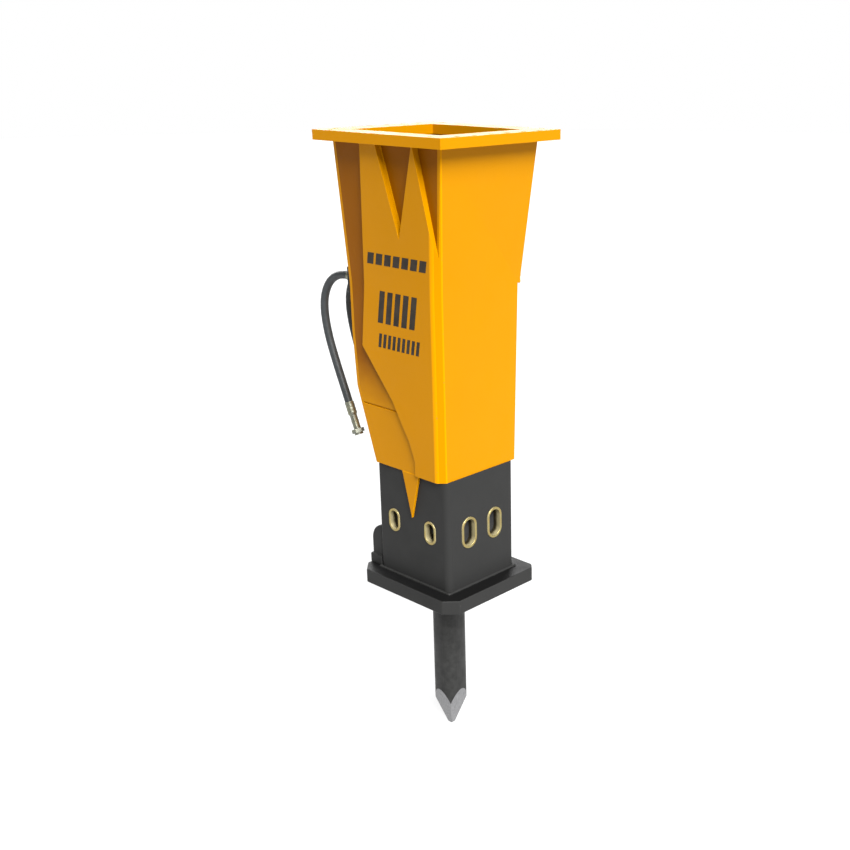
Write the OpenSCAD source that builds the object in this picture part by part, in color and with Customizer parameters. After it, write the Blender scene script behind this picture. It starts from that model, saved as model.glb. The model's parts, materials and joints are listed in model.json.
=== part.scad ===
// Box-type hydraulic breaker hammer, hanging from its top flange with the chisel pointing down.
// Millimetres. The origin is the centre of the flange's upper face, and +Z points up to the carrier.
// The front, with the raised cover, faces -Y. The hoses leave on the -X side.

/* [Mounting flange] */
// Width of the flange, from the hose side to the plain side
flange_x = 822; // [816:2:860]
// Depth of the flange, from front to rear
flange_y = 732; // [726:2:780]
// Thickness of the flange
flange_t = 45; // [35:1:55]
// Width of the opening in the flange
opening_x = 580; // [520:10:600]
// Depth of the opening in the flange
opening_y = 500; // [440:10:510]
// Diameter of the bolt holes
bolt_hole_d = 26; // [22:1:28]
// Spacing of the four corner bolts across the flange
corner_bolt_x = 640; // [620:2:660]
// Spacing of the four corner bolts from front to rear
corner_bolt_y = 676; // [672:2:680]
// Distance of the side bolt rows from the centre
side_bolt_x = 386; // [384:1:390]
// Pitch of the side bolts
side_bolt_pitch = 100; // [90:2:104]

/* [Upper housing] */
// Depth of the housing's lower edge below the flange's upper face
body_depth = 1552; // [1530:2:1580]
// Depth of the bend, where the flared top becomes the straight body
knee_depth = 690; // [660:5:720]
// Thickness of the housing plates
wall = 20; // [16:1:24]
// Height of the raised front cover over its base plate, at its lower edge
cover_rise = 14; // [10:1:16]
// Width of the chamfer on the corner between the cover and the plain side
corner_cut = 33; // [20:1:36]

/* [Lower housing] */
// Half width of the dark lower housing
block_x = 244; // [240:1:250]
// Half depth of the dark lower housing
block_y = 224; // [222:1:226]
// Thickness of its walls
block_wall = 25; // [20:1:30]
// Depth of its lower edge below the flange's upper face
block_depth = 2108; // [2100:1:2115]
// Width of the bottom wear plate
plate_x = 656; // [624:2:660]
// Depth of the bottom wear plate, from front to rear
plate_y = 592; // [560:2:600]
// Thickness of the bottom wear plate
plate_t = 70; // [64:1:80]

/* [Chisel] */
// Diameter of the chisel
tool_d = 160; // [150:1:160]
// Depth of the chisel's point below the flange's upper face
tool_depth = 2990; // [2900:10:3100]
// Length of the ground point
point_length = 222; // [200:2:240]
// How far the chisel slides
tool_travel = 70; // [40:5:70]

/* [Power cell] */
// Width of the cylinder and heads
cell_x = 370; // [370:1:372]
// Depth of the cylinder and heads, from front to rear
cell_y = 350; // [350:1:352]
// Diameter of the piston's working land
piston_d = 150; // [146:1:154]
// Diameter of the piston's striking end
striker_d = 130; // [120:1:130]
// Diameter of the piston's upper rod
upper_rod_d = 120; // [110:1:124]
// Piston stroke
stroke = 120; // [80:5:120]
// Diameter of the tie rods
tie_rod_d = 44; // [36:1:44]

/* [Hoses] */
// Outside diameter of the whip hoses
hose_d = 40; // [32:1:42]

/* [Hidden] */

$fn = 72;
eps = 0.5;           // how far a cutting shape runs past the face it cuts
far = 1200;          // past the whole housing
run_fit = 0.05;      // radial clearance of a running fit

yellow = "#f5ad0c";
dark = "#4a4a48";
steel = "#9a9da0";
bright_steel = "#c4c8cb";
tool_steel = "#555553";
rubber = "#1d1f20";
bronze = "#b79a5a";
urethane = "#8c5a2b";
zinc = "#b9b27a";

// Housing outlines, each a list of [distance from the axis, height], from the flange down.
z_top = -flange_t;
z_knee = -knee_depth;
z_foot = -body_depth;
right_line = [[338, z_top], [254, z_knee], [238, z_foot]];
left_line = [[-360, z_top], [-360, -930], [-345, -1190], [-232, z_foot]];
front_line = [[-296, z_top], [-240, z_knee], [-234, z_foot]];
rear_line = [[300, z_top], [268, z_knee], [250, z_knee], [236, z_foot]];
cover_line = [[-326, z_top], [-262, z_knee], [-234 - cover_rise, z_foot]];
rear_cover_line = [[318, z_top], [282, z_knee + 30]];

// The raised cover's outline seen from the front: its V notch, left edge and lower left diagonal.
cover_outline = [
    [-140, z_top], [-40, z_top], [50, -448], [190, z_top], [196, z_top], [330, -926], [330, z_foot],
    [60, z_foot], [62, -1480], [28, -1388], [-18, -1312], [-74, -1212], [-266, -978]
];
tongue_half = 57;
tongue_x = 14;
tongue_depth = 1776;

// Chisel pins
pin_z = -1833;
pin_y = 85;
pin_w = 58;
pin_h = 100;
pin_length = cell_x - 10;
port_x = 125;
port_z = -1827;
lock_d = 30;

// Power cell levels
head_bottom = -2050;
head_top = -1240;
cyl_top = -520;
back_top = -250;
rod_x = 140;
rod_y = 130;
piston_rest = head_top + 2;
carrier_low = -690;
land_low = -980;
land_high = carrier_low - stroke - 10;
piston_top = -480;
chamber_top = piston_top + stroke + 50;
tool_top = -1310;
shoulder = -1400;
head_journal_d = 132;
valve_y = -75;
valve_low = -1000;
valve_high = -780;
spool_r = 25;
spool_low = valve_low + 0.5;
spool_high = -845;
acc_z = -1138;

// Hose routes: points of the free hose, from the ferrule on the left side to the hose tail.
hose_depth = 690;
pressure_y = -150;
return_y = 0;
hatch_bolt_y = [-220, 70];
pressure_route = [
    [-470, -690], [-500, -690], [-545, -697], [-588, -715], [-625, -745], [-652, -785], [-668, -830],
    [-673, -880], [-669, -930], [-659, -980], [-645, -1030], [-627, -1080], [-607, -1130], [-586, -1180],
    [-564, -1230], [-542, -1280], [-521, -1328]
];
return_route = [
    [-470, -690], [-498, -690], [-541, -697], [-582, -715], [-618, -744], [-644, -784], [-659, -830],
    [-663, -880], [-658, -930], [-648, -980], [-634, -1030], [-617, -1080], [-598, -1130], [-577, -1180],
    [-555, -1230], [-533, -1280], [-512, -1328]
];
hose_sides = 12;
tail_length = 140;

// ---- shared shapes ----

// A flat outline in X and Z, extruded along Y.
module along_y(points, low = -far, high = far) {
    translate([0, high, 0]) rotate([90, 0, 0]) linear_extrude(high - low) polygon(points);
}

// A flat outline in Y and Z, extruded along X.
module along_x(points, low = -far, high = far) {
    translate([low, 0, 0]) rotate([90, 0, 90]) linear_extrude(high - low) polygon(points);
}

// A band of the given thickness on the inner side of a housing outline.
function band(line, t) = concat(
    line,
    [for (i = [len(line) - 1 : -1 : 0]) [line[i][0] - sign(line[i][0]) * t, line[i][1]]]
);

// The area between two outlines, the second one read upwards.
function between(a, b) = concat(a, [for (i = [len(b) - 1 : -1 : 0]) b[i]]);

// An outline moved inwards by the wall thickness.
function inner(line) = [for (p = line) [p[0] - sign(p[0]) * wall, p[1]]];

// A block centred on the axis, between two heights.
module block(x, y, low, high) {
    translate([-x / 2, -y / 2, low]) cube([x, y, high - low]);
}

// A disc or rod on the axis, between two heights.
module disc(r, low, high) {
    translate([0, 0, low]) cylinder(r = r, h = high - low);
}

// A square with rounded corners.
module rounded_rect(hx, hy, r) {
    square([2 * hx - 2 * r, 2 * hy], center = true);
    square([2 * hx, 2 * hy - 2 * r], center = true);
    for (sx = [-1, 1], sy = [-1, 1])
        translate([sx * (hx - r), sy * (hy - r)]) circle(r);
}

// An oval with straight sides, w wide and h high.
module oval(w, h) {
    square([w, h - w], center = true);
    for (s = [-1, 1]) translate([0, s * (h - w) / 2]) circle(w / 2);
}

// An oval bar along X, at a place in Y and Z.
module oval_x(w, h, y, z, low, high) {
    translate([low, y, z]) rotate([90, 0, 90]) linear_extrude(high - low) oval(w, h);
}

// An oval bar along Y, at a place in X and Z.
module oval_y(w, h, x, z, low, high) {
    translate([x, high, z]) rotate([90, 0, 0]) linear_extrude(high - low) oval(w, h);
}

// A round bar along X.
module rod_x_dir(r, y, z, low, high) {
    translate([low, y, z]) rotate([0, 90, 0]) cylinder(r = r, h = high - low);
}

// A round bar along Y.
module rod_y_dir(r, x, z, low, high) {
    translate([x, high, z]) rotate([90, 0, 0]) cylinder(r = r, h = high - low);
}

// A hexagon head or nut along X, pointing to -X from the given face.
module hex_left(across, y, z, face, h) {
    translate([face - h, y, z]) rotate([0, 90, 0]) cylinder(d = across / cos(30), h = h, $fn = 6);
}

// Four copies at the tie rods.
module at_rods() {
    for (sx = [-1, 1], sy = [-1, 1]) translate([sx * rod_x, sy * rod_y, 0]) children();
}

// ---- housing ----

module top_flange() {
    color(yellow) difference() {
        block(flange_x, flange_y, -flange_t, 0);
        block(opening_x, opening_y, -flange_t - eps, eps);
        for (sx = [-1, 1], sy = [-1, 1])
            translate([sx * corner_bolt_x / 2, sy * corner_bolt_y / 2, -flange_t - eps])
                cylinder(d = bolt_hole_d, h = flange_t + 2 * eps);
        for (sx = [-1, 1], i = [-2.5 : 2.5])
            translate([sx * side_bolt_x, i * side_bolt_pitch, -flange_t - eps])
                cylinder(d = bolt_hole_d, h = flange_t + 2 * eps);
    }
}

// The chamfer along the corner between the cover and the plain side, over one straight stretch.
module corner_wedge(upper, lower) {
    past = 20;
    function corner(i, z) = let (x = right_line[i][0], y = cover_line[i][0])
        [[x - corner_cut - past, y - past, z], [x + past, y - past, z], [x + past, y + corner_cut + past, z]];
    polyhedron(
        concat(corner(upper, right_line[upper][1]), corner(lower, right_line[lower][1])),
        [[2, 1, 0], [3, 4, 5], [1, 4, 3, 0], [2, 5, 4, 1], [0, 3, 5, 2]]
    );
}

module without_corner() {
    difference() {
        children();
        corner_wedge(0, 1);
        corner_wedge(1, 2);
    }
}

module right_plate() {
    color(yellow) without_corner() intersection() {
        along_y(band(right_line, wall));
        along_x(between(front_line, rear_line));
    }
}

module left_plate() {
    color(yellow) difference() {
        intersection() {
            along_y(band(left_line, wall));
            along_x(between(front_line, rear_line));
        }
        // hose window and the hatch's bolt holes
        translate([-400, -205, z_knee - 45]) cube([80, 260, 90]);
        for (y = hatch_bolt_y, dz = [-53, 53]) rod_x_dir(6.05, y, z_knee + dz, -400, -300);
    }
}

// The plates between the two side plates stop at their inner faces.
module between_sides() {
    intersection() {
        children();
        along_y(between(inner(left_line), inner(right_line)));
    }
}

module front_plate() {
    color(yellow) {
        difference() {
            between_sides() along_x(band(front_line, wall));
            // joint of the lower corner plate
            translate([-400, -260, -1270]) cube([340, 30, 8]);
        }
        // the V tongue over the lower housing
        along_y(
            [[tongue_x - tongue_half, z_foot], [tongue_x + tongue_half, z_foot], [tongue_x, -tongue_depth]],
            -block_y - 12, -block_y
        );
    }
}

module rear_plate() {
    color(yellow) between_sides() along_x(band(rear_line, wall));
}

module front_cover() {
    color(yellow) without_corner() intersection() {
        along_x(between(cover_line, front_line));
        along_y(cover_outline, -400, -200);
        along_y(between([[-far, z_top], [-far, z_foot]], right_line));
    }
}

module rear_cover() {
    color(yellow) intersection() {
        along_x(between(rear_cover_line, [rear_line[0], rear_line[1]]));
        along_y([[-190, z_top], [190, z_top], [248, z_knee], [-248, z_knee]], 200, 400);
    }
}

module lower_housing() {
    color(dark) difference() {
        translate([0, 0, -block_depth]) linear_extrude(block_depth - body_depth) rounded_rect(block_x, block_y, 32);
        block(2 * (block_x - block_wall), 2 * (block_y - block_wall), -block_depth - eps, z_foot + eps);
        for (sy = [-1, 1]) oval_x(96, 156, sy * pin_y, pin_z, block_x - block_wall - eps, block_x + eps);
        for (sx = [-1, 1], sy = [-1, 1])
            oval_y(76, 116, sx * port_x, port_z, sy * block_y - block_wall - eps, sy * block_y + block_wall + eps);
        // grease access
        rod_y_dir(24, 0, -1640, block_y - block_wall - eps, block_y + eps);
    }
}

module rock_claw() {
    claw_r = 84;
    claw_z = -1980;
    claw_y = 206;
    foot_top = -block_depth + 48;
    foot_x = plate_x / 2 - 2;
    color(dark) difference() {
        union() {
            rod_y_dir(claw_r, -block_x + 8, claw_z, -claw_y, claw_y);
            translate([-block_x + 8 - claw_r, -claw_y, -block_depth]) cube([claw_r, 2 * claw_y, claw_z + block_depth]);
            translate([-foot_x, -claw_y - 12, -block_depth]) cube([100, 2 * claw_y + 24, foot_top + block_depth]);
        }
        translate([-block_x, -far, -2 * far]) cube([far, 2 * far, 2 * far]);
        translate([-far, -far, -block_depth - far]) cube([2 * far, 2 * far, far]);
    }
}

module wear_plate() {
    cut = 60;
    far_cut = 34;
    hx = plate_x / 2;
    hy = plate_y / 2;
    low = -block_depth - plate_t;
    color(dark) difference() {
        translate([0, 0, low]) linear_extrude(plate_t) polygon([
            [hx - cut, -hy], [hx, cut - hy], [hx, hy - far_cut], [hx - far_cut, hy],
            [cut - hx, hy], [-hx, hy - cut], [-hx, cut - hy], [cut - hx, -hy]
        ]);
        disc(118, low + 45, -block_depth + eps);
        disc(100, low + 16, low + 50);
        disc(tool_d / 2 + 8, low - eps, low + 20);
    }
}

// ---- chisel and its pins ----

module pin_hole_bushes() {
    color(zinc) for (sy = [-1, 1]) difference() {
        oval_x(95.8, 155.8, sy * pin_y, pin_z, cell_x / 2 + 1, block_x + 5);
        oval_x(72, 132, sy * pin_y, pin_z, cell_x / 2, block_x + 6);
    }
}

module lock_port_bushes() {
    color(zinc) for (sx = [-1, 1], sy = [-1, 1]) mirror([0, sy < 0 ? 0 : 1, 0]) difference() {
        oval_y(75.8, 115.8, sx * port_x, port_z, -block_y - 4, -cell_y / 2 - 1);
        oval_y(54, 94, sx * port_x, port_z, -block_y - 5, -cell_y / 2);
    }
}

module pin_plugs() {
    color(rubber) for (sy = [-1, 1]) union() {
        oval_x(71.6, 131.6, sy * pin_y, pin_z, cell_x / 2 + 1, cell_x / 2 + 21);
        oval_x(30, 70, sy * pin_y, pin_z, cell_x / 2 + 21, cell_x / 2 + 25);
    }
}

module chisel() {
    r = tool_d / 2;
    tip = 12;
    cone_z = point_length - tool_depth;
    color(tool_steel) difference() {
        intersection() {
            union() {
                disc(r, -tool_depth, shoulder - 12);
                translate([0, 0, shoulder - 12]) cylinder(r1 = r, r2 = head_journal_d / 2, h = 12);
                disc(head_journal_d / 2, shoulder - 1, tool_top - 6);
                translate([0, 0, tool_top - 6])
                    cylinder(r1 = head_journal_d / 2, r2 = head_journal_d / 2 - 6, h = 6);
            }
            along_y([[-tip, -tool_depth], [-r, cone_z], [-r, 0], [r, 0], [r, cone_z], [tip, -tool_depth]]);
            along_x([[-tip, -tool_depth], [-r, cone_z], [-r, 0], [r, 0], [r, cone_z], [tip, -tool_depth]]);
        }
        // flats for the retaining pins
        flat_top = pin_z + pin_h / 2;
        flat_length = pin_h + tool_travel + 2;
        for (sy = [-1, 1])
            translate([-100, sy > 0 ? 55 : -155, flat_top - flat_length]) cube([200, 100, flat_length]);
    }
}

module retaining_pin(side) {
    notch_y = side * (pin_y + pin_w / 2 + 3);
    color(bright_steel) difference() {
        oval_x(pin_w, pin_h, side * pin_y, pin_z, -pin_length / 2, pin_length / 2);
        // notches for the lock pins
        for (sx = [-1, 1])
            rod_y_dir(lock_d / 2 + 1, sx * port_x, port_z, notch_y - 14, notch_y + 14);
    }
}

module front_retaining_pin() { retaining_pin(-1); }
module rear_retaining_pin() { retaining_pin(1); }

module lock_pins() {
    tip_y = pin_y + pin_w / 2 - 8;
    color(steel) for (sx = [-1, 1], sy = [-1, 1]) mirror([0, sy < 0 ? 0 : 1, 0]) {
        rod_y_dir(lock_d / 2, sx * port_x, port_z, -cell_y / 2 - 10, -tip_y);
        rod_y_dir(22, sx * port_x, port_z, -cell_y / 2 - 20, -cell_y / 2 - 1);
    }
}

// ---- power cell ----

module front_head() {
    color(steel) difference() {
        block(cell_x, cell_y, head_bottom, head_top);
        // upper bushing pocket, chisel bore and lower bushing seat
        disc(115, -1500, head_top + eps);
        disc(tool_d / 2 + 2, -1900, -1490);
        disc(115, head_bottom - eps, -1895);
        for (sy = [-1, 1]) {
            oval_x(pin_w + 0.2, pin_h + 0.2, sy * pin_y, pin_z, -cell_x / 2 - eps, cell_x / 2 + eps);
            rod_x_dir(12, sy * 115, -1960, -cell_x / 2 - eps, cell_x / 2 + eps);
        }
        for (sx = [-1, 1], sy = [-1, 1])
            rod_y_dir(lock_d / 2 + 0.1, sx * port_x, port_z, sy * 145 - 35, sy * 145 + 35);
        at_rods() disc(tie_rod_d / 2 + 0.05, -1400, head_top + eps);
        // grease passage
        rod_y_dir(6, 0, -1640, 70, cell_y / 2 + eps);
    }
}

module cylinder_body() {
    difference() {
        block(cell_x, cell_y, head_top, cyl_top);
        disc(striker_d / 2 + run_fit, head_top - eps, land_low);
        disc(piston_d / 2 + run_fit, land_low - 5, carrier_low + eps);
        disc(100, carrier_low, cyl_top + eps);
        // grooves of the lower rod seals
        for (z = [-1180, -1150]) disc(74, z, z + 14);
        at_rods() disc(tie_rod_d / 2 + 1, head_top - eps, cyl_top + eps);
        // groove of the head seal
        difference() {
            disc(112, cyl_top - 4, cyl_top + eps);
            disc(106, cyl_top - 5, cyl_top + 1);
        }
        // oil passages from the control valve
        for (z = [-950, -860]) rod_x_dir(14, valve_y + 60, z, -cell_x / 2 - eps, -40);
        rod_x_dir(12, 0, acc_z, -cell_x / 2 - eps, -66);
    }
}

module cylinder_part() { color(steel) cylinder_body(); }

module back_head() {
    color(steel) difference() {
        block(cell_x, cell_y, cyl_top, back_top);
        // gas chamber
        disc(104, cyl_top - eps, chamber_top);
        translate([0, 0, chamber_top - eps]) cylinder(r1 = 104, r2 = 60, h = 20);
        // pockets of the tie rod nuts
        for (sx = [-1, 1], sy = [-1, 1])
            translate([sx > 0 ? 100 : -100 - far, sy > 0 ? 90 : -90 - far, -330]) cube([far, far, far]);
        at_rods() disc(tie_rod_d / 2 + 1, cyl_top - eps, -329);
        // gas valve seat
        rod_x_dir(10, 0, -400, 90, 170);
        rod_x_dir(17, 0, -400, 160, cell_x / 2 + eps);
    }
}

module tie_rods() {
    color(steel) at_rods() disc(tie_rod_d / 2, -1400, -272);
}

module tie_rod_nuts() {
    color(steel) at_rods() difference() {
        translate([0, 0, -330]) cylinder(d = 66 / cos(30), h = 42, $fn = 6);
        disc(tie_rod_d / 2 + 0.05, -331, -280);
    }
}

module piston() {
    color(bright_steel) {
        translate([0, 0, piston_rest]) cylinder(r1 = striker_d / 2 - 8, r2 = striker_d / 2, h = 10);
        disc(striker_d / 2, piston_rest + 10, land_low);
        difference() {
            disc(piston_d / 2, land_low, land_high);
            // labyrinth grooves
            for (z = [-950, -920, -890, -860]) difference() {
                disc(piston_d, z, z + 8);
                disc(piston_d / 2 - 2, z - 1, z + 9);
            }
        }
        disc(upper_rod_d / 2, land_high, piston_top - 10);
        translate([0, 0, piston_top - 10])
            cylinder(r1 = upper_rod_d / 2, r2 = upper_rod_d / 2 - 8, h = 10);
    }
}

module seal_carrier() {
    color(bronze) difference() {
        disc(99.95, carrier_low, cyl_top);
        disc(upper_rod_d / 2 + run_fit, carrier_low - 1, cyl_top + 1);
        for (z = [-660, -610, -570]) disc(upper_rod_d / 2 + 9, z, z + 14);
    }
}

// A seal ring between two radii.
module ring(r_in, r_out, low, high) {
    difference() {
        disc(r_out, low, high);
        disc(r_in, low - 1, high + 1);
    }
}

module upper_seals() {
    color(rubber) for (z = [-660, -610, -570])
        ring(upper_rod_d / 2 + run_fit, upper_rod_d / 2 + 8.8, z + 0.5, z + 13.5);
}

module lower_seals() {
    color(rubber) for (z = [-1180, -1150])
        ring(striker_d / 2 + run_fit, 73.8, z + 0.5, z + 13.5);
}

module head_seals() {
    color(rubber) ring(106.2, 111.8, cyl_top - 3.8, cyl_top - 0.1);
}

module upper_bushing() {
    color(bronze) difference() {
        disc(114.9, -1499.9, head_top - 0.1);
        disc(tool_d / 2 + 0.1, -1501, shoulder + tool_travel + 2);
        disc(head_journal_d / 2 + 3, shoulder, head_top + 1);
    }
}

module lower_bushing() {
    low = -block_depth - 22;
    color(bronze) difference() {
        disc(114.9, low, -1895.5);
        disc(tool_d / 2 + 0.1, low - 1, -1894);
        for (sy = [-1, 1]) rod_x_dir(12.2, sy * 115, -1960, -far, far);
        // grease grooves
        for (z = [-2010, -2070]) disc(tool_d / 2 + 3, z, z + 8);
    }
}

module bushing_pins() {
    color(steel) for (sy = [-1, 1]) rod_x_dir(11.9, sy * 115, -1960, -cell_x / 2 + 2, cell_x / 2 - 2);
}

module dust_seal() {
    low = -block_depth - plate_t + 18;
    color(rubber) ring(tool_d / 2 + run_fit, 99.7, low, low + 26);
}

module gas_valve() {
    color(bronze) {
        rod_x_dir(16.9, 0, -400, 161, cell_x / 2);
        rod_x_dir(14, 0, -400, cell_x / 2, cell_x / 2 + 12);
    }
}

module gas_valve_cap() {
    color(steel) translate([cell_x / 2 + 12, 0, -400]) rotate([0, 90, 0])
        cylinder(d = 34 / cos(30), h = 22, $fn = 6);
}

// ---- control valve and accumulator, on the cylinder's hose side ----

module valve_block() {
    color(steel) difference() {
        translate([-325, valve_y - 110, valve_low]) cube([140, 220, valve_high - valve_low]);
        translate([-255, valve_y, 0]) disc(spool_r + run_fit, valve_low - eps, -805);
        translate([-255, valve_y, 0]) for (z = [-960, -905, -850]) disc(spool_r + 8, z, z + 22);
        // pipe ports
        for (y = [pressure_y, return_y]) translate([-255, y, 0]) disc(13, -870, valve_high + eps);
        // cover screws
        for (sx = [-1, 1], sy = [-1, 1])
            translate([-255 + sx * 46, valve_y + sy * 46, 0]) disc(8.05, valve_low - eps, valve_low + 30);
    }
}

module valve_spool() {
    color(bright_steel) translate([-255, valve_y, 0]) union() {
        disc(spool_r, spool_low, spool_low + 30);
        disc(spool_r - 8, spool_low + 29, spool_low + 60);
        disc(spool_r, spool_low + 60, spool_low + 85);
        disc(spool_r - 8, spool_low + 84, spool_low + 110);
        disc(spool_r, spool_low + 110, spool_high);
    }
}

module valve_cover() {
    color(steel) difference() {
        translate([-255 - 60, valve_y - 60, valve_low - 25]) cube([120, 120, 25]);
        for (sx = [-1, 1], sy = [-1, 1])
            translate([-255 + sx * 46, valve_y + sy * 46, 0]) disc(8.6, valve_low - 26, valve_low + 1);
    }
}

module valve_cover_bolts() {
    color(bright_steel) for (sx = [-1, 1], sy = [-1, 1]) translate([-255 + sx * 46, valve_y + sy * 46, 0]) {
        disc(8, valve_low - 25, valve_low + 28);
        disc(12, valve_low - 37, valve_low - 25);
    }
}

// A turned shape whose axis lies along -X from the cylinder's side, at the accumulator.
module on_acc_axis(face) {
    translate([face, 0, acc_z]) rotate([0, -90, 0]) children();
}

module at_acc_bolts() {
    for (i = [0 : 7]) rotate([0, 0, 22.5 + 45 * i]) translate([84, 0, 0]) children();
}

module accumulator_base() {
    color(steel) on_acc_axis(-cell_x / 2) difference() {
        cylinder(r = 98, h = 40);
        translate([0, 0, 22]) cylinder(r1 = 40, r2 = 66, h = 19);
        translate([0, 0, -1]) cylinder(r = 12, h = 30);
        at_acc_bolts() translate([0, 0, 12]) cylinder(r = 7.05, h = 30);
    }
}

module accumulator_diaphragm() {
    color(rubber) on_acc_axis(-cell_x / 2 - 40) difference() {
        cylinder(r = 98, h = 4);
        at_acc_bolts() translate([0, 0, -1]) cylinder(r = 7.5, h = 6);
    }
}

module accumulator_cover() {
    color(steel) on_acc_axis(-cell_x / 2 - 44) difference() {
        union() {
            cylinder(r = 98, h = 18);
            translate([0, 0, 18]) cylinder(r1 = 70, r2 = 44, h = 30);
        }
        translate([0, 0, -1]) cylinder(r1 = 66, r2 = 30, h = 36);
        at_acc_bolts() translate([0, 0, -1]) cylinder(r = 7.5, h = 20);
    }
}

module accumulator_bolts() {
    color(bright_steel) on_acc_axis(-cell_x / 2 - 62) at_acc_bolts() {
        translate([0, 0, -48]) cylinder(r = 7, h = 48);
        cylinder(d = 21 / cos(30), h = 10, $fn = 6);
    }
}

// ---- dampers and pads between the power cell and the housing ----

module upper_damper() {
    color(urethane) block(190, 170, back_top, back_top + 50);
}

module damper_plate() {
    color(dark) block(440, 400, back_top + 50, back_top + 75);
}

module lower_damper() {
    color(urethane) difference() {
        block(340, 320, -block_depth, head_bottom);
        disc(119, -block_depth - eps, head_bottom + eps);
    }
}

// Four pads round the power cell, reaching to the given distances on the right, left, front and rear.
module side_pads(right, left, front, rear, low, high) {
    hx = cell_x / 2;
    hy = cell_y / 2;
    color(urethane) {
        translate([hx, -60, low]) cube([right - hx, 120, high - low]);
        translate([-left, -60, low]) cube([left - hx, 120, high - low]);
        translate([-60, -front, low]) cube([120, front - hy, high - low]);
        translate([-60, hy, low]) cube([120, rear - hy, high - low]);
    }
}

module upper_side_pads() { side_pads(238, 338, 223, 247, -640, -560); }
module lower_side_pads() { side_pads(217, 226, 214, 216, -1500, -1400); }

module grease_nipple() {
    color(bright_steel) {
        rod_y_dir(5.9, 0, -1640, 150, cell_y / 2);
        rod_y_dir(9, 0, -1640, cell_y / 2, cell_y / 2 + 12);
        rod_y_dir(5, 0, -1640, cell_y / 2 + 12, cell_y / 2 + 24);
    }
}

// ---- hydraulic lines ----

module hose_hatch() {
    color(dark) difference() {
        translate([-378, -235, z_knee - 65]) cube([18, 320, 130]);
        for (y = [pressure_y, return_y]) rod_x_dir(24.1, y, -hose_depth, -400, -300);
        for (y = hatch_bolt_y, dz = [-53, 53]) rod_x_dir(6.5, y, z_knee + dz, -400, -300);
    }
}

module hatch_bolts() {
    color(bright_steel) for (y = hatch_bolt_y, dz = [-53, 53]) {
        rod_x_dir(6, y, z_knee + dz, -378, -345);
        hex_left(18, y, z_knee + dz, -378, 9);
    }
}

module hose_adapters() {
    color(steel) for (y = [pressure_y, return_y]) {
        rod_x_dir(24, y, -hose_depth, -378, -330);
        hex_left(56, y, -hose_depth, -378, 26);
    }
}

module hose_ferrules() {
    color(steel) for (y = [pressure_y, return_y]) {
        hex_left(46, y, -hose_depth, -404, 20);
        rod_x_dir(hose_d / 2 + 4, y, -hose_depth, -470, -424);
    }
}

// A steel pipe from an adapter, bending down into the valve block.
module oil_pipe(y) {
    bend = 50;
    r = 16;
    color(steel) {
        rod_x_dir(r, y, -hose_depth, -330, -255 - bend);
        translate([-255 - bend, y, -hose_depth - bend]) rotate([90, 0, 0])
            rotate_extrude(angle = 90) translate([bend, 0]) circle(r);
        translate([-255, y, 0]) disc(r, valve_high, -hose_depth - bend);
    }
}

module pressure_pipe() { oil_pipe(pressure_y); }
module return_pipe() { oil_pipe(return_y); }

// ---- hoses ----

function unit(v) = v / norm(v);

// Direction of the route at a point, in X and Z.
function heading(route, i) =
    i == 0 ? unit(route[1] - route[0])
    : i == len(route) - 1 ? unit(route[i] - route[i - 1])
    : unit(unit(route[i + 1] - route[i]) + unit(route[i] - route[i - 1]));

// A tube swept along a route that lies in one plane at a constant Y.
module hose(route, y, d) {
    n = hose_sides;
    count = len(route);
    points = [
        for (i = [0 : count - 1])
            let (dir = heading(route, i))
            for (k = [0 : n - 1])
                let (a = 360 * k / n, side = d / 2 * cos(a), up = d / 2 * sin(a))
                [route[i][0] - up * dir[1], y + side, route[i][1] + up * dir[0]]
    ];
    sides = [
        for (i = [0 : count - 2])
            for (k = [0 : n - 1])
                let (k2 = (k + 1) % n)
                [i * n + k, i * n + k2, (i + 1) * n + k2, (i + 1) * n + k]
    ];
    start_cap = [for (k = [n - 1 : -1 : 0]) k];
    end_cap = [for (k = [0 : n - 1]) (count - 1) * n + k];
    polyhedron(points, concat([start_cap], sides, [end_cap]));
}

module pressure_hose() { color(rubber) hose(pressure_route, pressure_y, hose_d); }
module return_hose() { color(rubber) hose(return_route, return_y, hose_d); }

// Things lined up with the far end of a hose, their +Z along its last stretch.
module at_hose_end(route, y) {
    last = route[len(route) - 1];
    dir = heading(route, len(route) - 1);
    translate([last[0], y, last[1]]) rotate([0, 180 - atan2(dir[0], -dir[1]), 0]) children();
}

module hose_tail(route, y) {
    color(steel) at_hose_end(route, y) {
        cylinder(r = hose_d / 2 + 3, h = 62);
        translate([0, 0, 62]) cylinder(r1 = hose_d / 2 + 3, r2 = 18, h = 8);
        translate([0, 0, 70]) cylinder(r = 18, h = tail_length - 70);
    }
}

module hose_nut(route, y) {
    color(steel) at_hose_end(route, y) translate([0, 0, tail_length]) {
        cylinder(d = 55 / cos(30), h = 20, $fn = 6);
        translate([0, 0, 20]) cylinder(r = 22, h = 10);
    }
}

module pressure_hose_tail() { hose_tail(pressure_route, pressure_y); }
module return_hose_tail() { hose_tail(return_route, return_y); }
module pressure_hose_nut() { hose_nut(pressure_route, pressure_y); }
module return_hose_nut() { hose_nut(return_route, return_y); }

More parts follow.
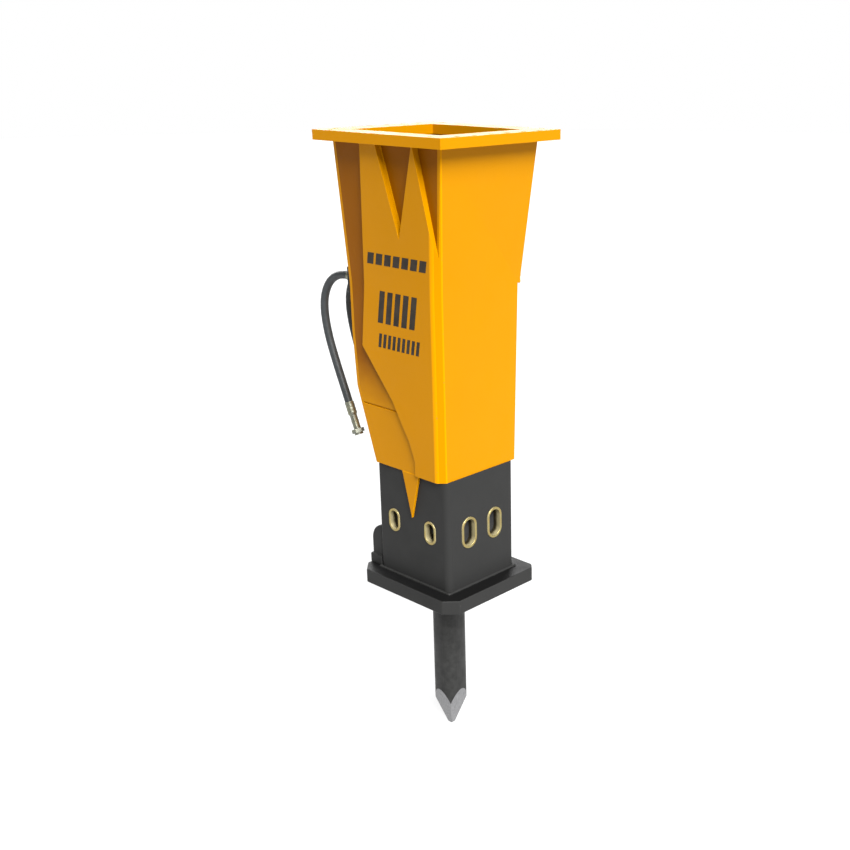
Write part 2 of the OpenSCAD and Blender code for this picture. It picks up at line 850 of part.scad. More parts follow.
top_flange();
front_plate();
rear_plate();
right_plate();
left_plate();
front_cover();
rear_cover();
lower_housing();
rock_claw();
wear_plate();
pin_hole_bushes();
lock_port_bushes();
pin_plugs();
chisel();
front_retaining_pin();
rear_retaining_pin();
lock_pins();
front_head();
cylinder_part();  // cylinder
back_head();
tie_rods();
tie_rod_nuts();
piston();
seal_carrier();
upper_seals();
lower_seals();
head_seals();
upper_bushing();
lower_bushing();
bushing_pins();
dust_seal();
gas_valve();
gas_valve_cap();
valve_block();
valve_spool();
valve_cover();
valve_cover_bolts();
accumulator_base();
accumulator_cover();
accumulator_diaphragm();
accumulator_bolts();
upper_damper();
damper_plate();
lower_damper();
upper_side_pads();
lower_side_pads();
hose_hatch();
hatch_bolts();
hose_adapters();
hose_ferrules();
pressure_pipe();
return_pipe();
pressure_hose();
return_hose();
pressure_hose_tail();
return_hose_tail();
pressure_hose_nut();
return_hose_nut();
grease_nipple();
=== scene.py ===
import json
import math

import bmesh
import bpy
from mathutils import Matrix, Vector


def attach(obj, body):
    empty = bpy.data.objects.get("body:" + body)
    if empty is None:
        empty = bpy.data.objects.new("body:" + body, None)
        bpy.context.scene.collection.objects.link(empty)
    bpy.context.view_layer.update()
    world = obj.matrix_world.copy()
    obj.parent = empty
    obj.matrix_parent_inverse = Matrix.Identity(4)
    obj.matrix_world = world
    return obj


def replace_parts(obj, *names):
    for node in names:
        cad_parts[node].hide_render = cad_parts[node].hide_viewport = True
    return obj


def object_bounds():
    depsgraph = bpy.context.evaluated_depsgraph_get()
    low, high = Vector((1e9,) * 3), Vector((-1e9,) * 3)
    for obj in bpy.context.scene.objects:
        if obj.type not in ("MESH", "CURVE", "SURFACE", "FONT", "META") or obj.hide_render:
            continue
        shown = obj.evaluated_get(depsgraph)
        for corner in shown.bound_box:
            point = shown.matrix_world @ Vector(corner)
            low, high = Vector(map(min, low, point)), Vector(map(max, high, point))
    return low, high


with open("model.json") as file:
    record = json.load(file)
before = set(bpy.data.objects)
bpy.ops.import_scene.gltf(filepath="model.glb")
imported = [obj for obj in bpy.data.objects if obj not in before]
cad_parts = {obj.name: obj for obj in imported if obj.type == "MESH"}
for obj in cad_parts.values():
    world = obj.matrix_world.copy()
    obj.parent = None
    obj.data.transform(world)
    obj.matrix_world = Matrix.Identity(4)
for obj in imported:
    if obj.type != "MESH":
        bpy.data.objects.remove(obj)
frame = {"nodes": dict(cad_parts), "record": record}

MM = 0.001
NODES = frame["nodes"]
CAD_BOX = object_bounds()

# Outlines of the housing in millimetres, [distance from the axis, height], as in the CAD model.
Z_TOP = -45
Z_KNEE = -690
Z_FOOT = -1552
RIGHT_LINE = [(338, Z_TOP), (254, Z_KNEE), (238, Z_FOOT)]
LEFT_LINE = [(-360, Z_TOP), (-360, -930), (-345, -1190), (-232, Z_FOOT)]
FRONT_LINE = [(-296, Z_TOP), (-240, Z_KNEE), (-234, Z_FOOT)]
REAR_LINE = [(300, Z_TOP), (268, Z_KNEE)]
COVER_LINE = [(-326, Z_TOP), (-262, Z_KNEE), (-248, Z_FOOT)]
NOTCH = [(-40, Z_TOP), (50, -448), (190, Z_TOP)]
REAR_COVER_EDGE = [(-190, Z_TOP), (-248, Z_KNEE + 2), (248, Z_KNEE + 2), (190, Z_TOP)]
COVER_LEFT = [
    (-140, Z_TOP), (-266, -978), (-74, -1212), (-18, -1312), (28, -1388), (62, -1480), (60, Z_FOOT),
]
BLOCK_X = 244
BLOCK_Y = 224
BLOCK_DEPTH = 2108
CORNER_CUT = 33
POINT_TOP = -2768

# How far a vinyl mark's back and front stand off the cover, and the radius of the housing's welds.
FILM = (0.1, 0.6)
WELD = 5.5
PLATE_WELD = 8

# The free hoses, [x, z] in millimetres, as in the CAD model.
PRESSURE_Y = -150
RETURN_Y = 0
HOSE_D = 40
IN_SHELL = 42
PER_SPAN = 8
PRESSURE_ROUTE = [
    (-470, -690), (-500, -690), (-545, -697), (-588, -715), (-625, -745), (-652, -785), (-668, -830),
    (-673, -880), (-669, -930), (-659, -980), (-645, -1030), (-627, -1080), (-607, -1130), (-586, -1180),
    (-564, -1230), (-542, -1280), (-521, -1328),
]
RETURN_ROUTE = [
    (-470, -690), (-498, -690), (-541, -697), (-582, -715), (-618, -744), (-644, -784), (-659, -830),
    (-663, -880), (-658, -930), (-648, -980), (-634, -1030), (-617, -1080), (-598, -1130), (-577, -1180),
    (-555, -1230), (-533, -1280), (-512, -1328),
]


# ---- camera ----

def camera():
    """The photograph's viewpoint, facing the edge between the cover and the plain side."""
    azimuth = math.radians(46.78)
    heading = azimuth - math.radians(4.89)
    pitch = math.radians(17.87)
    distance = 5.347
    height = 0.344
    data = bpy.data.cameras.new("camera")
    data.sensor_width = 36
    data.lens = 49.6
    data.shift_x = -0.1345
    cam = bpy.data.objects.new("camera", data)
    bpy.context.scene.collection.objects.link(cam)
    cam.location = (distance * math.sin(azimuth), -distance * math.cos(azimuth), height)
    forward = Vector((
        -math.sin(heading) * math.cos(pitch), math.cos(heading) * math.cos(pitch), -math.sin(pitch)
    ))
    cam.rotation_mode = "QUATERNION"
    cam.rotation_quaternion = forward.to_track_quat("-Z", "Y")
    bpy.context.scene.camera = cam


# ---- node materials ----

RANGE_SOCKETS = ("From Min", "From Max", "To Min", "To Max")

class Graph:
    """A node material, with short calls for the nodes it is made of."""

    def __init__(self, name):
        self.material = bpy.data.materials.new(name)
        self.material.use_nodes = True
        self.nodes = self.material.node_tree.nodes
        self.links = self.material.node_tree.links
        self.shader = self.nodes["Principled BSDF"]
        self.place = self.nodes.new("ShaderNodeTexCoord").outputs["Object"]

    def set(self, **values):
        for key, value in values.items():
            self.shader.inputs[key.replace("_", " ")].default_value = value

    def noise(self, scale, detail=3.0, roughness=0.5, stretch=(1, 1, 1)):
        mapping = self.nodes.new("ShaderNodeMapping")
        mapping.inputs["Scale"].default_value = stretch
        self.links.new(self.place, mapping.inputs["Vector"])
        node = self.nodes.new("ShaderNodeTexNoise")
        node.inputs["Scale"].default_value = scale
        node.inputs["Detail"].default_value = detail
        node.inputs["Roughness"].default_value = roughness
        self.links.new(mapping.outputs["Vector"], node.inputs["Vector"])
        return node.outputs["Fac"]

    def remap(self, value, low, high, to_low=0.0, to_high=1.0):
        node = self.nodes.new("ShaderNodeMapRange")
        for name, number in zip(RANGE_SOCKETS, (low, high, to_low, to_high)):
            node.inputs[name].default_value = number
        self.links.new(value, node.inputs["Value"])
        return node.outputs["Result"]

    def math(self, kind, a, b):
        node = self.nodes.new("ShaderNodeMath")
        node.operation = kind
        for socket, value in zip(node.inputs, (a, b)):
            if isinstance(value, (int, float)):
                socket.default_value = value
            else:
                self.links.new(value, socket)
        return node.outputs["Value"]

    def mix(self, factor, a, b):
        node = self.nodes.new("ShaderNodeMix")
        node.data_type = "RGBA"
        self.links.new(factor, node.inputs["Factor"])
        for socket, value in zip(("A", "B"), (a, b)):
            target = [s for s in node.inputs if s.name == socket and s.type == "RGBA"][0]
            if isinstance(value, tuple):
                target.default_value = (*value, 1)
            else:
                self.links.new(value, target)
        return [s for s in node.outputs if s.type == "RGBA"][0]

    def along(self, axis):
        """The distance along one of the object's axes, in metres."""
        node = self.nodes.new("ShaderNodeSeparateXYZ")
        self.links.new(self.place, node.inputs["Vector"])
        return node.outputs[axis]

    def edge(self):
        """1 on the rounded strips along the edges, 0 elsewhere."""
        node = self.nodes.new("ShaderNodeAttribute")
        node.attribute_name = "edge"
        return node.outputs["Fac"]

    def colour(self, value):
        self.links.new(value, self.shader.inputs["Base Color"])

    def rough(self, value):
        self.links.new(value, self.shader.inputs["Roughness"])

    def bump(self, height, distance, strength=1.0, under=None):
        node = self.nodes.new("ShaderNodeBump")
        node.inputs["Strength"].default_value = strength
        node.inputs["Distance"].default_value = distance
        self.links.new(height, node.inputs["Height"])
        if under is not None:
            self.links.new(under, node.inputs["Normal"])
        self.links.new(node.outputs["Normal"], self.shader.inputs["Normal"])
        return node.outputs["Normal"]


def shade(colour, factor):
    return tuple(c * factor for c in colour)


def paint(name, colour, bare, roughness, specular, wear, rim=1.0, painted_shade=None):
    """Sprayed paint: orange peel, faint tone changes and scuffs, rims lightened as a painted highlight with
    worn spots along them, and an optional painted shade that darkens it higher up.
    """
    g = Graph(name)
    tone = g.remap(g.noise(1.7, 4), 0.3, 0.7)
    body = g.mix(tone, shade(colour, 0.94), colour)
    # Edges lightened by a factor: a painted highlight along the rims.
    body = g.mix(g.edge(), body, shade(colour, rim))
    # Optional painted shade: a darker tint that fades in with height, with a patchy boundary.
    if painted_shade:
        tint, low, high = painted_shade
        patchy = g.remap(g.noise(5, 4), 0.3, 0.7, -0.06, 0.06)
        body = g.mix(g.remap(g.math("ADD", g.along("Z"), patchy), low, high), body, tint)
    scuff = g.noise(26, 6, 0.65, (1, 1, 0.12))
    body = g.mix(g.remap(scuff, 0.62, 0.8, 0, 0.25), body, shade(colour, 0.82))
    chips = g.remap(g.noise(75, 5, 0.6), wear, wear + 0.04)
    chips = g.math("MULTIPLY", chips, g.edge())
    g.colour(g.mix(chips, body, bare))
    spread = g.remap(g.noise(9, 5), 0.3, 0.7, roughness - 0.05, roughness + 0.08)
    g.rough(g.math("ADD", spread, g.math("MULTIPLY", chips, 0.2)))
    g.set(Specular_IOR_Level=specular)
    peel = g.bump(g.noise(420, 2), 0.00018)
    g.bump(g.math("SUBTRACT", 1.0, chips), 0.0003, 1.0, peel)
    return g.material


YELLOW = (0.43, 0.176, 0.0)


def yellow_paint(name="yellow_paint", painted_shade=None):
    # 1.22 lightens the rims: a painted highlight along the edges.
    material = paint(name, YELLOW, (0.16, 0.10, 0.05), 0.42, 0.12, 0.66, 1.22, painted_shade)
    shader = material.node_tree.nodes["Principled BSDF"]
    shader.inputs["Specular Tint"].default_value = (1.0, 0.66, 0.08, 1)
    return material


def recess_shade_paint():
    """The plate behind the raised cover, darkened up to the flange by painted shade."""
    return yellow_paint("recess_shade_paint", ((0.20, 0.062, 0.0), -1.3, -1.0))


def dark_paint():
    return paint("dark_paint", (0.020, 0.020, 0.0195), (0.10, 0.09, 0.08), 0.55, 0.14, 0.67)


def top_shade_paint():
    """The foot's upper side, painted near black: painted shade."""
    return paint("top_shade_paint", (0.0055, 0.0055, 0.0055), (0.04, 0.04, 0.04), 0.5, 0.1, 0.7)


def tool_steel():
    """Hardened tool steel with a dark, slightly mottled skin and turning marks."""
    g = Graph("tool_steel")
    mottle = g.remap(g.noise(34, 6, 0.6), 0.35, 0.7)
    body = g.mix(mottle, (0.019, 0.019, 0.0185), (0.031, 0.031, 0.030))
    g.colour(g.mix(g.math("MULTIPLY", g.edge(), 0.7), body, (0.09, 0.09, 0.09)))
    g.rough(g.remap(g.noise(12, 4), 0.3, 0.7, 0.42, 0.58))
    g.set(Metallic=0.25, Specular_IOR_Level=0.2)
    turned = g.bump(g.noise(130, 2, 0.5, (0.15, 0.15, 6)), 0.00012)
    g.bump(g.noise(60, 4), 0.0002, 0.6, turned)
    return g.material


def ground_steel():
    """The chisel's freshly ground point."""
    g = Graph("ground_steel")
    lines = g.noise(240, 3, 0.6, (1, 1, 0.06))
    g.colour(g.mix(g.remap(lines, 0.35, 0.65), (0.15, 0.15, 0.155), (0.26, 0.26, 0.265)))
    g.rough(g.remap(lines, 0.3, 0.7, 0.34, 0.5))
    g.set(Metallic=0.6)
    g.bump(lines, 0.00015)
    return g.material


def metal(name, colour, roughness, grain=(1, 1, 1), tint=None):
    """Machined or plated metal with tool marks along one direction and uneven tone."""
    g = Graph(name)
    tone = g.remap(g.noise(14, 5), 0.3, 0.7)
    body = g.mix(tone, shade(colour, 0.8), colour)
    if tint:
        body = g.mix(g.remap(g.noise(38, 3), 0.45, 0.7, 0, 0.6), body, tint)
    g.colour(g.mix(g.math("MULTIPLY", g.edge(), 0.35), body, shade(colour, 1.35)))
    marks = g.noise(160, 3, 0.55, grain)
    g.rough(g.remap(marks, 0.3, 0.7, roughness - 0.06, roughness + 0.1))
    g.set(Metallic=0.9)
    g.bump(marks, 0.00012)
    return g.material


def bush_bore_shade(axis, mouth):
    """A bush's inner walls: bright for a short way in from the mouth, then darker further in as painted
    shade.
    """
    g = Graph("bush_bore_shade_" + axis)
    smear = g.noise(45, 5, 0.6, (1, 1, 0.4))
    # Dark colours for the walls deeper in: painted shade.
    deep_shade = g.mix(g.remap(smear, 0.4, 0.75), (0.012, 0.009, 0.004), (0.05, 0.038, 0.014))
    inward = g.math("ABSOLUTE", g.along(axis), 0.0)
    wander = g.math("ADD", inward, g.remap(smear, 0.3, 0.7, -0.003, 0.003))
    bright = g.remap(wander, (mouth - 30) * MM, (mouth - 16) * MM)
    g.colour(g.mix(bright, deep_shade, (0.36, 0.31, 0.17)))
    g.rough(g.remap(smear, 0.3, 0.7, 0.4, 0.6))
    g.set(Metallic=0.4)
    g.bump(smear, 0.0003)
    return g.material


def soft(name, colour, roughness, grain):
    """Rubber or urethane with a fine moulded skin and a dusty bloom."""
    g = Graph(name)
    bloom = g.remap(g.noise(22, 5), 0.4, 0.75, 0, 0.5)
    g.colour(g.mix(bloom, colour, shade(colour, 1.7)))
    g.rough(g.remap(g.noise(30, 4), 0.3, 0.7, roughness - 0.08, roughness + 0.08))
    g.set(Specular_IOR_Level=0.35)
    g.bump(g.noise(grain, 3), 0.0002)
    return g.material


def vinyl():
    """Thin matt sticker film."""
    g = Graph("vinyl")
    g.colour(g.mix(g.remap(g.noise(18, 4), 0.35, 0.7), (0.016, 0.012, 0.008), (0.030, 0.022, 0.014)))
    g.rough(g.remap(g.noise(60, 3), 0.3, 0.7, 0.45, 0.6))
    g.set(Specular_IOR_Level=0.2)
    g.bump(g.noise(300, 2), 0.00005)
    return g.material


def floor_paint():
    g = Graph("floor_paint")
    g.colour(g.mix(g.noise(0.6, 3), (0.15, 0.15, 0.15), (0.16, 0.16, 0.16)))
    g.set(Emission_Color=(1, 1, 1, 1), Emission_Strength=0.82)
    g.rough(g.remap(g.noise(4, 4), 0.3, 0.7, 0.85, 0.95))
    g.set(Specular_IOR_Level=0.1)
    g.bump(g.noise(90, 3), 0.0002)
    return g.material


def make_materials():
    """One finished material for each slot of the record."""
    return {
        "housing_paint": yellow_paint(),
        "dark_paint": dark_paint(),
        "tool_steel": tool_steel(),
        "pin_steel": metal("pin_steel", (0.42, 0.43, 0.44), 0.28, (0.1, 1, 1)),
        "machined_steel": metal("machined_steel", (0.30, 0.31, 0.32), 0.42, (1, 1, 0.1)),
        "fastener_steel": metal("fastener_steel", (0.34, 0.34, 0.33), 0.36),
        "bush_steel": metal("bush_steel", (0.40, 0.31, 0.12), 0.38, (0.2, 0.2, 1), (0.34, 0.34, 0.17)),
        "bronze": metal("bronze", (0.52, 0.36, 0.15), 0.34, (1, 1, 3)),
        "rubber": soft("rubber", (0.016, 0.016, 0.017), 0.66, 420),
        "urethane": soft("urethane", (0.30, 0.13, 0.04), 0.45, 260),
        "hose_rubber": soft("hose_rubber", (0.026, 0.030, 0.032), 0.46, 700),
        "fitting_steel": metal(
            "fitting_steel", (0.235, 0.245, 0.205), 0.42, (1, 1, 0.3), (0.28, 0.27, 0.17)
        ),
    }


# ---- mesh helpers ----

def add(name, bm, material, body="housing", smooth_under=35):
    """A bmesh made into an object that rides on a body."""
    mesh = bpy.data.meshes.new(name)
    bm.normal_update()
    bm.to_mesh(mesh)
    bm.free()
    mesh.shade_smooth()
    mesh.set_sharp_from_angle(angle=math.radians(smooth_under))
    mesh.materials.append(material)
    obj = bpy.data.objects.new(name, mesh)
    bpy.context.scene.collection.objects.link(obj)
    normals = obj.modifiers.new("even_normals", "WEIGHTED_NORMAL")
    normals.keep_sharp = True
    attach(obj, body)
    return obj


def copy_of(node):
    """A clean bmesh of a CAD node, its flat faces whole again."""
    data = NODES[node].data
    mesh = bpy.data.meshes.new("copy")
    mesh.from_pydata([v.co[:] for v in data.vertices], [], [tuple(p.vertices) for p in data.polygons])
    bm = bmesh.new()
    bm.from_mesh(mesh)
    bpy.data.meshes.remove(mesh)
    bmesh.ops.remove_doubles(bm, verts=bm.verts, dist=2e-5)
    bmesh.ops.dissolve_limit(bm, angle_limit=math.radians(0.6), verts=bm.verts, edges=bm.edges)
    return bm


def rounded(bm, width, segments=3, chosen=None, sharper_than=28):
    """Rounds the sharp edges, and marks the rounded strips for the wear and for the painted highlight along
    the rims.
    """
    layer = bm.loops.layers.float_color.get("edge")
    if layer is None:
        layer = bm.loops.layers.float_color.new("edge")
        for face in bm.faces:
            for loop in face.loops:
                loop[layer] = (0, 0, 0, 1)
    picked = [
        e for e in bm.edges
        if len(e.link_faces) == 2 and e.calc_face_angle(0) > math.radians(sharper_than)
        and (chosen is None or chosen(e))
    ]
    made = bmesh.ops.bevel(
        bm, geom=picked, offset=width, segments=segments, profile=0.5, affect="EDGES", clamp_overlap=True
    )
    for face in made["faces"]:
        for loop in face.loops:
            loop[layer] = (1, 1, 1, 1)


def detailed(node, material, width, body="housing", chosen=None):
    """A CAD node with its edges rounded as on the real piece, shown in its place."""
    bm = copy_of(node)
    rounded(bm, width * MM, chosen=chosen)
    obj = add(node + "_detail", bm, material, body)
    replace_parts(obj, node)
    return obj


def second_material(obj, material, chosen):
    """Gives another finish to the faces that a rule chooses."""
    obj.data.materials.append(material)
    for face in obj.data.polygons:
        if chosen(face):
            face.material_index = 1


def at(line, z):
    """The distance from the axis of an outline at a height."""
    for (d0, z0), (d1, z1) in zip(line, line[1:]):
        if z >= z1:
            return d0 + (d1 - d0) * (z0 - z) / (z0 - z1)
    return line[-1][0]


def resampled(points, step):
    """Points every step along a polyline."""
    result = [Vector(points[0])]
    for a, b in zip(points, points[1:]):
        a, b = Vector(a), Vector(b)
        count = max(1, round((b - a).length / step))
        result += [a.lerp(b, i / count) for i in range(1, count + 1)]
    return result


def tube(points, radius, sides, lobes=0.0, lobe_count=8):
    """A bmesh tube along points, capped, its radius given at each ring, with optional flutes."""
    bm = bmesh.new()
    count = len(points)
    ahead = [(points[min(i + 1, count - 1)] - points[max(i - 1, 0)]).normalized() for i in range(count)]
    side = ahead[0].orthogonal().normalized()
    rings = []
    for i, (p, d) in enumerate(zip(points, ahead)):
        side = (side - d * side.dot(d)).normalized()
        up = d.cross(side)
        ring = []
        for k in range(sides):
            a = 2 * math.pi * k / sides
            r = radius(i) * (1 + lobes * math.cos(lobe_count * a))
            ring.append(bm.verts.new(p + side * (r * math.cos(a)) + up * (r * math.sin(a))))
        rings.append(ring)
    for low, high in zip(rings, rings[1:]):
        for k in range(sides):
            bm.faces.new((low[k], low[(k + 1) % sides], high[(k + 1) % sides], high[k]))
    bm.faces.new(rings[0][::-1])
    bm.faces.new(rings[-1])
    bmesh.ops.recalc_face_normals(bm, faces=bm.faces)
    return bm


# ---- hoses ----

def curve_through(route, y):
    """A smooth line through the route's points, in metres."""
    pts = [Vector((x, y, z)) * MM for x, z in route]
    pts = [2 * pts[0] - pts[1]] + pts + [2 * pts[-1] - pts[-2]]
    line = []
    for p0, p1, p2, p3 in zip(pts, pts[1:], pts[2:], pts[3:]):
        for i in range(PER_SPAN):
            t = i / PER_SPAN
            line.append(0.5 * (
                2 * p1 + (p2 - p0) * t + (2 * p0 - 5 * p1 + 4 * p2 - p3) * t * t
                + (3 * p1 - p0 - 3 * p2 + p3) * t * t * t
            ))
    return line + [pts[-2]]


def hose(name, route, y, materials):
    """A wrapped hydraulic hose: the cover keeps the shallow spiral of its wrapping tape."""
    free = curve_through(route, y)
    onward = (free[-1] - free[-1 - PER_SPAN]).normalized()
    step = 6
    line = free + [free[-1] + onward * (s * MM) for s in range(step, step + IN_SHELL, step)]
    wrap = 5.2
    groove = 0.25

    def radius(i):
        return (HOSE_D / 2 - groove + groove * abs(math.sin(i * math.pi / wrap))) * MM

    obj = add(name + "_detail", tube(line, radius, 32), materials["hose_rubber"])
    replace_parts(obj, name)
    tail = hose_tail(name + "_tail", free[-1], onward, materials)


def hose_tail(node, start, d, materials):
    """A crimped shell with its jaw marks, a shoulder and a plain stem that ends in the nut."""
    profile = [
        (0, 21.2), (1.5, 22.6), (8, 22.8), (10, 21.9), (13, 21.7), (15, 22.8), (26, 22.8), (28, 21.9),
        (31, 21.7), (33, 22.8), (44, 22.8), (46, 21.9), (49, 21.7), (51, 22.8), (60, 22.8), (62, 22.2),
        (68, 18.8), (70, 18), (96, 17.8), (97, 19.2), (103, 19.2), (104, 17.8), (140, 17.8),
    ]
    points = [start + d * (s * MM) for s, _ in profile]
    bm = tube(points, lambda i: profile[i][1] * MM, 48, lobes=0.008)
    obj = add(node + "_detail", bm, materials["fitting_steel"])
    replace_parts(obj, node)
    return obj


# ---- housing ----

def bead(name, points, radius, material):
    """A fillet weld: overlapping ripples, painted over."""
    ring_spacing = 0.0035
    path = resampled(points, ring_spacing)

    def size(i):
        ripple = 0.5 + 0.5 * math.cos(i * 2.1)
        wander = 0.06 * math.sin(i * 0.37) + 0.05 * math.sin(i * 0.113 + 1.3)
        return radius * MM * (0.86 + 0.16 * ripple + wander)

    return add(name, tube(path, size, 10), material, smooth_under=60)


def ring_points(x_low, x_high, y_low, y_high, z):
    corners = [(x_low, y_low), (x_high, y_low), (x_high, y_high), (x_low, y_high), (x_low, y_low)]
    return [Vector((x, y, z)) * MM for x, y in corners]


def housing(materials):
    """The plates, with the corner of the cover and the plain side rolled smooth."""
    yellow = materials["housing_paint"]
    detailed("top_flange", yellow, 4)
    # The front plate carries painted shade higher up, behind the cover.
    detailed("front_plate", recess_shade_paint(), 1.5)
    detailed("rear_plate", yellow, 1.5)
    detailed("rear_cover", yellow, 3)
    plate("front_cover", yellow, [(12, on_cover_corner), (3, proud_edge)])
    plate("right_plate", yellow, [(12, on_side_corner), (8, lambda e: near(e, RIGHT_LINE, REAR_LINE))])
    plate("left_plate", yellow, [(5, lambda e: near(e, LEFT_LINE, None))])


def plate(node, material, steps):
    """A housing plate whose upright edges are rounded by different amounts."""
    bm = copy_of(node)
    for width, chosen in steps:
        rounded(bm, width * MM, 4, chosen=lambda e: upright(e) and chosen(e), sharper_than=20)
    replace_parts(add(node + "_detail", bm, material), node)


def upright(e):
    d = e.verts[1].co - e.verts[0].co
    return abs(d.z) > 1 * MM and abs(d.z) > 0.3 * d.length


def near(e, x_line, y_line, x_in=0, y_in=0, slack=2.5):
    """True for an edge on the outer side of one or two outlines, or that far inside them."""
    m = (e.verts[0].co + e.verts[1].co) / 2 / MM
    x_ok = x_line is None or abs(m.x - at(x_line, m.z) + x_in) < slack
    y_ok = y_line is None or abs(m.y - at(y_line, m.z) - y_in) < slack
    return x_ok and y_ok


def on_cover_corner(e):
    return near(e, RIGHT_LINE, COVER_LINE, CORNER_CUT, 0)


def on_side_corner(e):
    return near(e, RIGHT_LINE, COVER_LINE, 0, CORNER_CUT)


def proud_edge(e):
    """The raised rims of the cover, away from its corner."""
    return near(e, None, COVER_LINE) and not on_cover_corner(e)


def housing_welds(materials):
    """The painted welds under the flange and round the two covers."""
    top = Z_TOP - 1
    left, right = LEFT_LINE[0][0], RIGHT_LINE[0][0]
    base, cover, rear = FRONT_LINE[0][0], COVER_LINE[0][0], REAR_LINE[0][0]
    (first, _), _, (last, _) = NOTCH
    outer = COVER_LEFT[0][0]
    spike = last + 6
    front = [
        (left, base), (outer, base), (outer, cover), (first, cover), (first, base), (last, base),
        (last, cover), (spike, cover), (spike, base), (right, base),
    ]
    runs = {
        "flange_weld_front": [(x, y, top) for x, y in front],
        "flange_weld_sides": [(left, base, top), (left, rear, top), (right, rear, top), (right, base, top)],
        "cover_weld_notch": [(x, at(FRONT_LINE, z), z) for x, z in NOTCH],
        "cover_weld_left": [(x, at(FRONT_LINE, z), z) for x, z in COVER_LEFT],
        "rear_cover_weld": [(x, at(REAR_LINE, z), z) for x, z in REAR_COVER_EDGE],
    }
    for name, points in runs.items():
        bead(name, [Vector(p) * MM for p in points], WELD, materials["housing_paint"])


def mark(name, low_x, high_x, low_z, high_z, bars, fill, lean, materials):
    """A row of slanted vinyl bars on the cover's face."""
    bm = bmesh.new()
    pitch = (high_x - low_x) / bars
    for i in range(bars):
        x = low_x + i * pitch
        right = x + pitch * fill
        corners = [(x, low_z), (right, low_z), (right + lean, high_z), (x + lean, high_z)]
        back, front = (
            [bm.verts.new(Vector((cx, at(COVER_LINE, cz) - proud, cz)) * MM) for cx, cz in corners]
            for proud in FILM
        )
        bm.faces.new(front)
        bm.faces.new(back[::-1])
        for k in range(4):
            bm.faces.new((back[k], back[(k + 1) % 4], front[(k + 1) % 4], front[k]))
    bmesh.ops.recalc_face_normals(bm, faces=bm.faces)
    add(name, bm, materials["vinyl"])


def marks(materials):
    """Generic graphics where the real breaker carries its lettering."""
    mark("mark_upper", -185, 215, -580, -528, 7, 0.74, 14, materials)
    mark("mark_middle", -145, 120, -850, -700, 5, 0.66, 26, materials)
    mark("mark_lower", -150, 135, -966, -900, 9, 0.6, 12, materials)


# ---- lower housing ----

def faces_inward(face):
    """True for a bush's walls, behind its rim."""
    centre, normal = face.center, face.normal
    outward = abs(normal.x) if abs(centre.x) > abs(centre.y) else abs(normal.y)
    return outward < 0.3


def lower_housing(materials):
    dark = materials["dark_paint"]
    detailed("lower_housing", dark, 2.5)
    detailed("rock_claw", dark, 5)
    foot = detailed("wear_plate", dark, 7)
    # The foot's upward faces get the near-black paint: painted shade.
    second_material(foot, top_shade_paint(), lambda f: f.normal.z > 0.9)
    detailed("hose_hatch", dark, 2.5)
    for node, width, axis, mouth in (
        ("pin_hole_bushes", 2.5, "X", BLOCK_X + 5), ("lock_port_bushes", 2, "Y", BLOCK_Y + 4),
    ):
        bush = detailed(node, materials["bush_steel"], width)
        # The bush's inner walls darken further in: painted shade.
        second_material(bush, bush_bore_shade(axis, mouth), faces_inward)
    detailed("pin_plugs", materials["rubber"], 3)
    weld = ring_points(-BLOCK_X, BLOCK_X, -BLOCK_Y, BLOCK_Y, -BLOCK_DEPTH + 1)
    bead("wear_plate_weld", weld, PLATE_WELD, dark)


# ---- chisel and fittings ----

def chisel(materials):
    """The chisel, with broken edges and a freshly ground point."""
    bm = copy_of("chisel")
    rounded(bm, 1.8 * MM)
    obj = add("chisel_detail", bm, materials["tool_steel"], "chisel")
    second_material(obj, ground_steel(), on_point)
    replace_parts(obj, "chisel")


def on_point(face):
    return face.center.z < (POINT_TOP + 60) * MM and abs(face.normal.z) > 0.12


def fittings(materials):
    for node in ("pressure_hose_nut", "return_hose_nut", "hose_adapters", "hose_ferrules"):
        detailed(node, materials["fitting_steel"], 1.8)
    detailed("hatch_bolts", materials["fastener_steel"], 1)


def inner_nodes(materials):
    """Gives the CAD nodes that stay their finished materials."""
    for part in frame["record"]["subparts"]:
        obj = NODES[part["node"]]
        for holder in obj.material_slots:
            holder.material = materials[part["material_slot"]]


# ---- stage ----

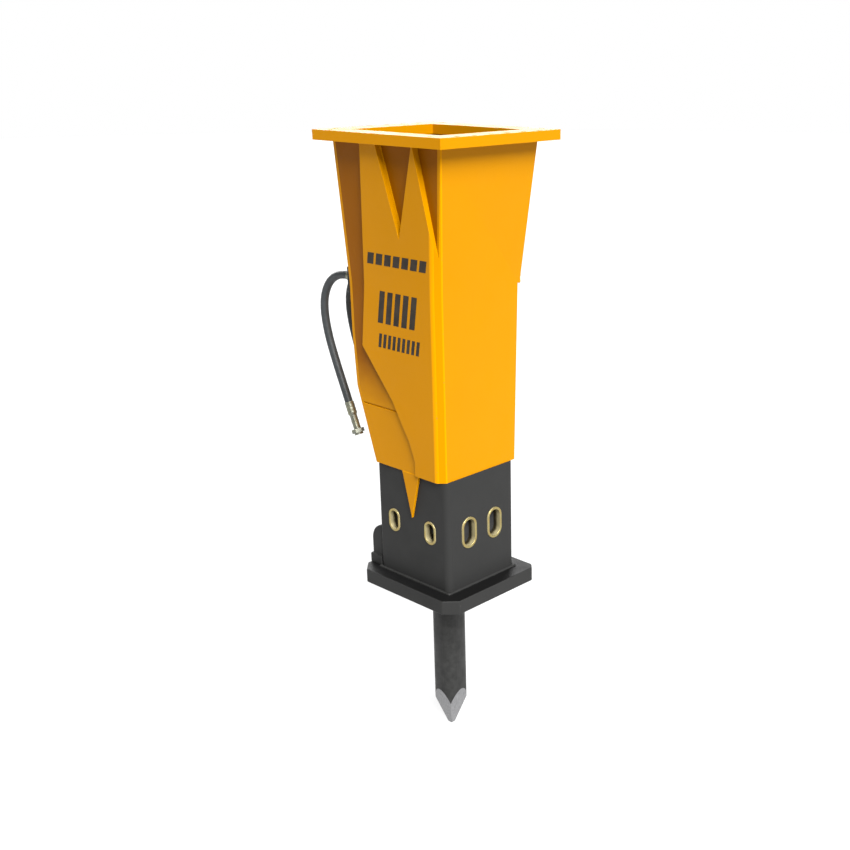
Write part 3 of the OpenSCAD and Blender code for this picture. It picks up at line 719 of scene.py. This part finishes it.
def floor(materials):
    """A wide pale floor under the chisel's point."""
    radius = 45
    gap = 0.0005
    bm = bmesh.new()
    bmesh.ops.create_circle(bm, cap_ends=True, segments=96, radius=radius)
    mesh = bpy.data.meshes.new("floor")
    bm.to_mesh(mesh)
    bm.free()
    obj = bpy.data.objects.new("floor", mesh)
    obj.location = (0, 0, CAD_BOX[0].z - gap)
    mesh.materials.append(materials["floor"])
    bpy.context.scene.collection.objects.link(obj)


def soft_light(name, azimuth, elevation, strength, softness):
    """A broad soft light, the same over the whole floor, with its softness as an angle."""
    data = bpy.data.lights.new(name, "SUN")
    data.energy = strength
    data.angle = math.radians(softness)
    obj = bpy.data.objects.new(name, data)
    a, e = math.radians(azimuth), math.radians(elevation)
    towards = Vector((math.sin(a) * math.cos(e), -math.cos(a) * math.cos(e), math.sin(e)))
    obj.location = towards * 6
    obj.rotation_mode = "QUATERNION"
    obj.rotation_quaternion = towards.to_track_quat("Z", "Y")
    bpy.context.scene.collection.objects.link(obj)


def sky():
    """A plain white backdrop that gives the object only a little light of its own."""
    world = bpy.data.worlds.new("studio")
    world.use_nodes = True
    nodes, links = world.node_tree.nodes, world.node_tree.links
    seen = nodes.new("ShaderNodeLightPath").outputs["Is Camera Ray"]
    strength = nodes.new("ShaderNodeMapRange")
    as_light, as_backdrop = 0.32, 1.0
    for name, number in zip(RANGE_SOCKETS, (0.0, 1.0, as_light, as_backdrop)):
        strength.inputs[name].default_value = number
    links.new(seen, strength.inputs["Value"])
    links.new(strength.outputs["Result"], nodes["Background"].inputs["Strength"])
    nodes["Background"].inputs["Color"].default_value = (1, 1, 1, 1)
    bpy.context.scene.world = world


def studio(materials):
    floor(materials)
    soft_light("key", 67, 42, 8.8, 34)
    soft_light("rear_fill", 236, 20, 3.8, 60)
    sky()
    bpy.context.scene.view_settings.view_transform = "Standard"


def main():
    camera()
    materials = make_materials()
    fittings(materials)
    hose("pressure_hose", PRESSURE_ROUTE, PRESSURE_Y, materials)
    hose("return_hose", RETURN_ROUTE, RETURN_Y, materials)
    housing(materials)
    housing_welds(materials)
    lower_housing(materials)
    chisel(materials)
    inner_nodes(materials)
    materials["vinyl"] = vinyl()
    marks(materials)
    materials["floor"] = floor_paint()
    studio(materials)


main()
